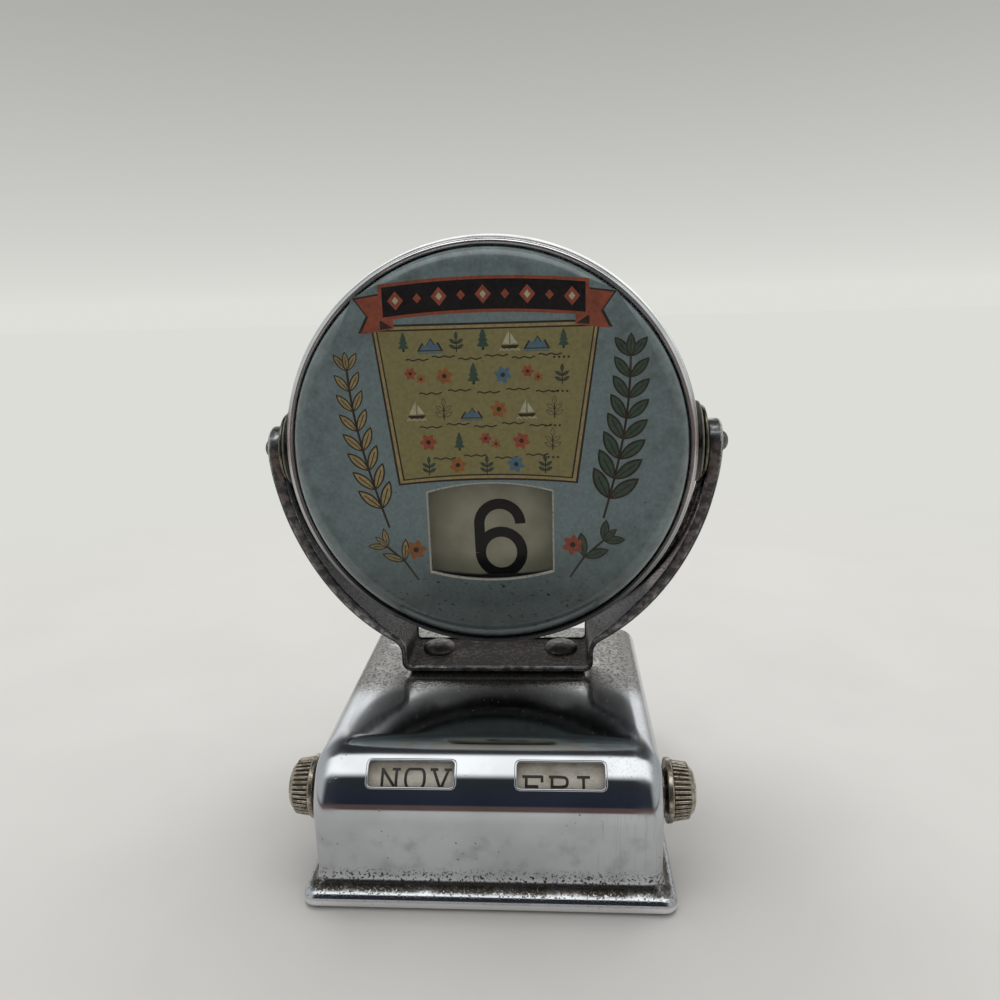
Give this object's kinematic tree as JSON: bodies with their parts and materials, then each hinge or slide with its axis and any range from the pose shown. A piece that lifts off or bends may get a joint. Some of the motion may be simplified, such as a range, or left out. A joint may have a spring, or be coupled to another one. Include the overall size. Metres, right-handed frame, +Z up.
{
  "type": "perpetual desk calendar",
  "caption": "Desk calendar with a round turn-over date drum in a riveted yoke, on a pressed case with knob-turned month and weekday rollers.",
  "frame": {"origin": "middle of the case's underside, at the level that it stands on", "axes": "+X to the right, +Y to the back, +Z up; the front face looks along -Y"},
  "size_m": [0.096, 0.0674, 0.1169],
  "materials": {
    "chrome": "bright chrome plate on pressed steel",
    "satin_chrome": "satin plate",
    "tarnished_steel": "tarnished plate with brown staining",
    "spring_steel": "dark spring steel",
    "plain_steel": "plain steel sheet",
    "nickel_brass": "worn nickel on brass",
    "brass": "dull brass",
    "printed_tin": "printed and varnished tin",
    "drum_tin": "tinned sheet",
    "label_paper": "aged paper",
    "date_tile": "enamelled tin tile",
    "felt": "green felt"
  },
  "bodies": {
    "case": {"base_shell": "chrome", "bottom_plate": "plain_steel", "felt_pad": "felt", "center_bracket": "plain_steel", "center_bush": "brass", "bracket_rivet_1": "plain_steel", "bracket_rivet_2": "plain_steel", "month_wall_bush": "nickel_brass", "weekday_wall_bush": "nickel_brass", "month_friction_spring": "spring_steel", "weekday_friction_spring": "spring_steel", "yoke": "tarnished_steel", "foot_rivet_left": "tarnished_steel", "foot_rivet_right": "tarnished_steel", "foot_washer_left": "plain_steel", "foot_washer_right": "plain_steel", "pivot_rivet_left": "tarnished_steel", "pivot_rivet_right": "tarnished_steel", "pivot_spacer_left": "brass", "pivot_spacer_right": "brass", "spring_washer_left": "brass", "spring_washer_right": "brass"},
    "month_roller": {"month_drum": "drum_tin", "month_label": "label_paper", "month_shaft": "plain_steel", "month_shaft_collar": "brass", "month_knob": "nickel_brass"},
    "weekday_roller": {"weekday_drum": "drum_tin", "weekday_label": "label_paper", "weekday_shaft": "plain_steel", "weekday_shaft_collar": "brass", "weekday_knob": "nickel_brass"},
    "head": {"drum_band": "satin_chrome", "front_cover": "printed_tin", "back_cover": "printed_tin", "front_tile_frame": "plain_steel", "back_tile_frame": "plain_steel", "pivot_cup_left": "spring_steel", "pivot_cup_right": "spring_steel"},
    "date_tiles": {"date_tile_01": "date_tile", "date_tile_02": "date_tile", "date_tile_03": "date_tile", "date_tile_04": "date_tile", "date_tile_05": "date_tile", "date_tile_06": "date_tile", "date_tile_07": "date_tile", "date_tile_08": "date_tile", "date_tile_09": "date_tile", "date_tile_10": "date_tile", "date_tile_11": "date_tile", "date_tile_12": "date_tile", "date_tile_13": "date_tile", "date_tile_14": "date_tile", "date_tile_15": "date_tile", "date_tile_16": "date_tile"}
  },
  "joints": [
    {"name": "head_turn", "type": "hinge", "parent": "case", "child": "head", "pos_m": [0, 0.01145, 0.0756], "axis": [1, 0, 0], "continuous": true},
    {"name": "month_turn", "type": "hinge", "parent": "case", "child": "month_roller", "pos_m": [0, -0.02015, 0.016], "axis": [1, 0, 0], "continuous": true},
    {"name": "weekday_turn", "type": "hinge", "parent": "case", "child": "weekday_roller", "pos_m": [0, -0.02015, 0.016], "axis": [1, 0, 0], "continuous": true},
    {"name": "tiles_drop", "type": "slide", "parent": "head", "child": "date_tiles", "axis": [0, 0, 1], "range_m": [0, 0.0358]}
  ]
}
